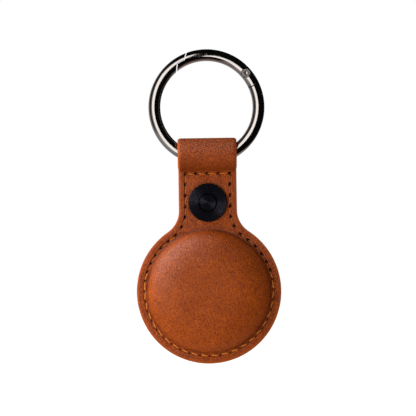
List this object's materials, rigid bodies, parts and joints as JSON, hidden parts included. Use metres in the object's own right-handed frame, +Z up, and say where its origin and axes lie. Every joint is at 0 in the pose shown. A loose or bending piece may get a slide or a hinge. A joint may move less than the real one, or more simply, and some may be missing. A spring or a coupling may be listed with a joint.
{
  "type": "tracker tag holder",
  "caption": "Leather tracker tag holder: round domed pouch with a snap-closed back flap, sewn neck loop and a spring gate ring.",
  "frame": {"origin": "centre of the spring ring's eye", "axes": "+Z up from the pouch through the neck to the ring, -Y out of the domed front, +X to the right seen from the front"},
  "size_m": [0.0438, 0.0142, 0.0954],
  "materials": {
    "gunmetal": "polished black nickel",
    "pin_steel": "polished, riveted",
    "spring_steel": "drawn wire",
    "front_leather": "waxed full grain, wet moulded",
    "lining_leather": "skived, raw back",
    "back_leather": "waxed full grain, flat",
    "black_snap": "turned, black coating",
    "thread": "waxed polyester"
  },
  "bodies": {
    "ring": {"ring_body": "gunmetal", "gate_pin": "pin_steel"},
    "gate": {"ring_gate": "gunmetal", "gate_spring": "spring_steel"},
    "holder": {"front_panel": "front_leather", "seam_welt": "lining_leather", "back_panel": "back_leather", "snap_cap": "black_snap", "snap_post": "black_snap", "snap_socket": "black_snap", "socket_spring": "spring_steel", "upper_needle_thread": "thread", "upper_bobbin_thread": "thread", "lower_needle_thread": "thread", "lower_bobbin_thread": "thread"},
    "flap": {"back_flap": "back_leather", "snap_stud": "black_snap", "stud_rivet": "black_snap"}
  },
  "joints": [
    {"name": "gate_hinge", "type": "hinge", "parent": "ring", "child": "gate", "pos_m": [0.0121, 0, 0.01016], "axis": [0, -1, 0], "range_deg": [0, 28], "stiffness_Nm_per_rad": 0.002, "springref_deg": -28.65, "deforming": ["gate_spring"]},
    {"name": "loop_swing", "type": "hinge", "parent": "ring", "child": "holder", "pos_m": [0, 0, -0.01424], "axis": [-1, 0, 0], "range_deg": [-150, 150]},
    {"name": "flap_fold", "type": "hinge", "parent": "holder", "child": "flap", "pos_m": [0, 0.0033, -0.05239], "axis": [-1, 0, 0], "range_deg": [0, 110]}
  ]
}
